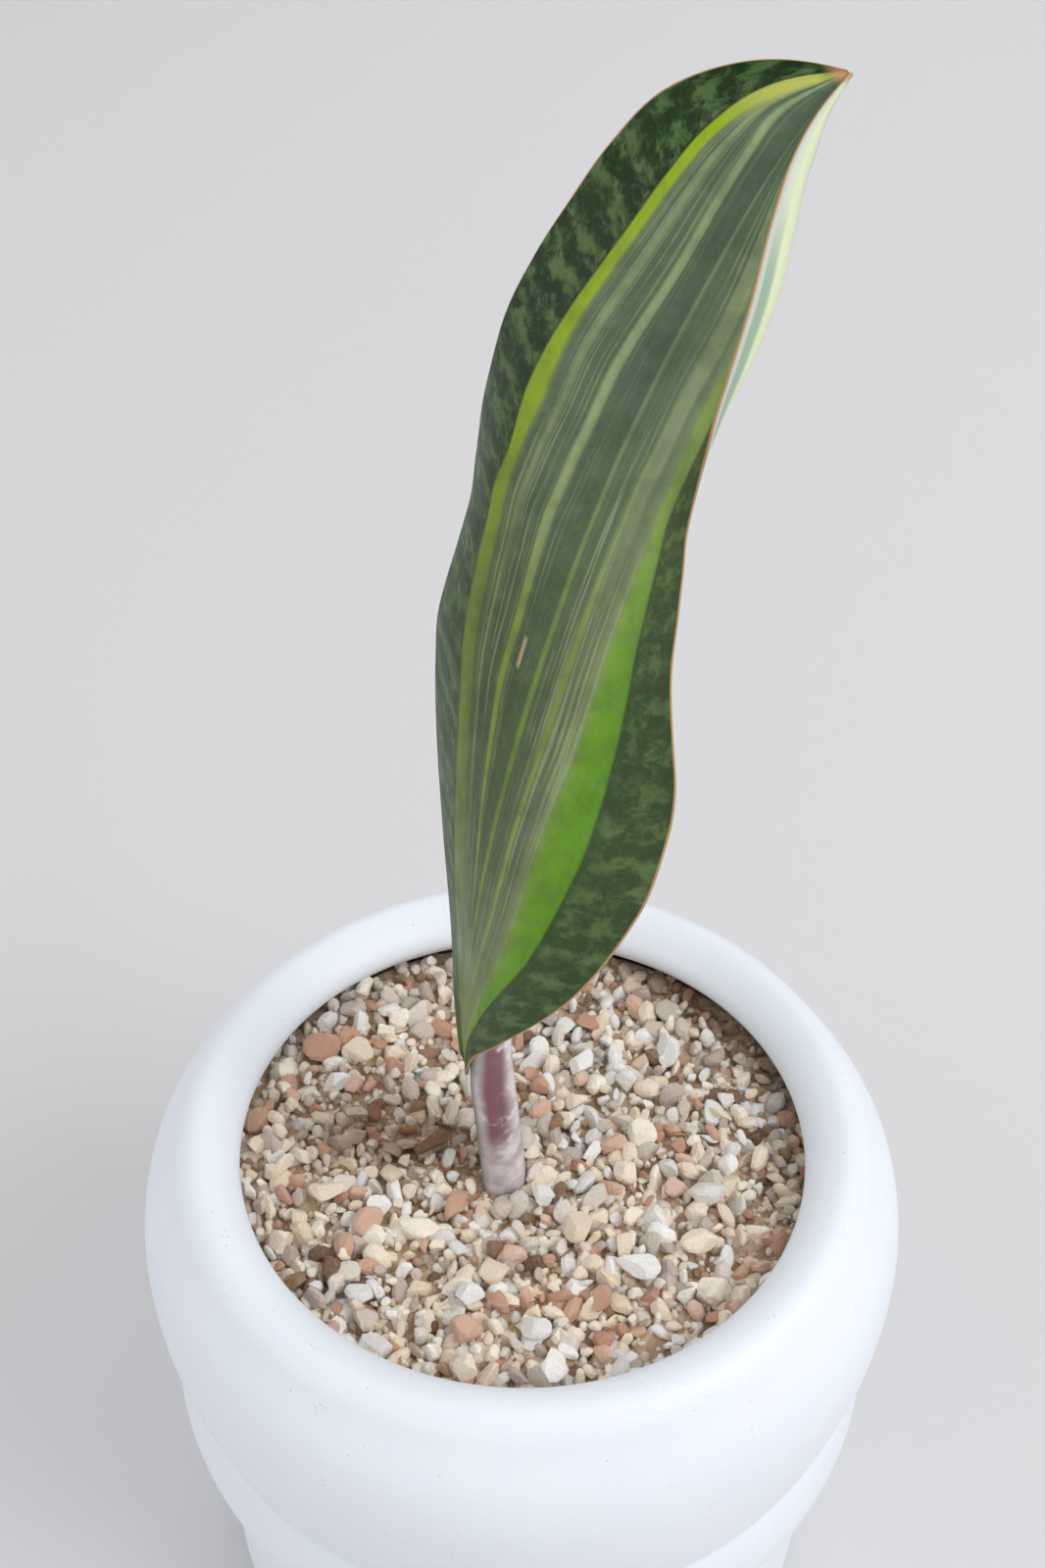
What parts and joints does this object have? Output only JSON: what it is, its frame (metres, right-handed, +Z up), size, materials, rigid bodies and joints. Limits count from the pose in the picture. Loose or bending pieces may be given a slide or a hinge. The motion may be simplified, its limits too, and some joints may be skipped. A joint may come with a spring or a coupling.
{
  "type": "potted snake plant",
  "caption": "Snake plant: one broad, twisted, striped paddle leaf on a channelled petiole, standing in coarse grit in a round white pot with a rolled rim.",
  "frame": {"origin": "centre of the pot's foot, on the surface it stands on", "axes": "+Z up out of the pot, -Y towards the viewer, +X to the viewer's right"},
  "size_m": [0.1418, 0.1418, 0.306],
  "materials": {
    "stoneware": "matt white glaze with fine grey specks",
    "mesh_plastic": "moulded, dull",
    "leaf_tissue": "satin, waxy, dark mottled wings, pale and yellow-green stripes, copper margin",
    "rhizome_tissue": "dull, scaly",
    "root_tissue": "dull, fleshy",
    "mixed_grit": "coarse loose mineral mix",
    "pumice": "rough, white",
    "cream_grit": "rough, cream",
    "red_clay": "rough, baked clay",
    "bark": "fibrous"
  },
  "bodies": {
    "root": {"bark_1": "bark", "bark_2": "bark", "bark_3": "bark", "cream_grit_1": "cream_grit", "cream_grit_10": "cream_grit", "cream_grit_2": "cream_grit", "cream_grit_3": "cream_grit", "cream_grit_4": "cream_grit", "cream_grit_5": "cream_grit", "cream_grit_6": "cream_grit", "cream_grit_7": "cream_grit", "cream_grit_8": "cream_grit", "cream_grit_9": "cream_grit", "drain_mesh": "mesh_plastic", "grit_bed": "mixed_grit", "leaf": "leaf_tissue", "pot": "stoneware", "pumice_1": "pumice", "pumice_10": "pumice", "pumice_2": "pumice", "pumice_3": "pumice", "pumice_4": "pumice", "pumice_5": "pumice", "pumice_6": "pumice", "pumice_7": "pumice", "pumice_8": "pumice", "pumice_9": "pumice", "red_clay_1": "red_clay", "red_clay_2": "red_clay", "red_clay_3": "red_clay", "red_clay_4": "red_clay", "red_clay_5": "red_clay", "rhizome": "rhizome_tissue", "root_1": "root_tissue", "root_2": "root_tissue", "root_3": "root_tissue", "root_4": "root_tissue", "root_5": "root_tissue"}
  },
  "joints": []
}
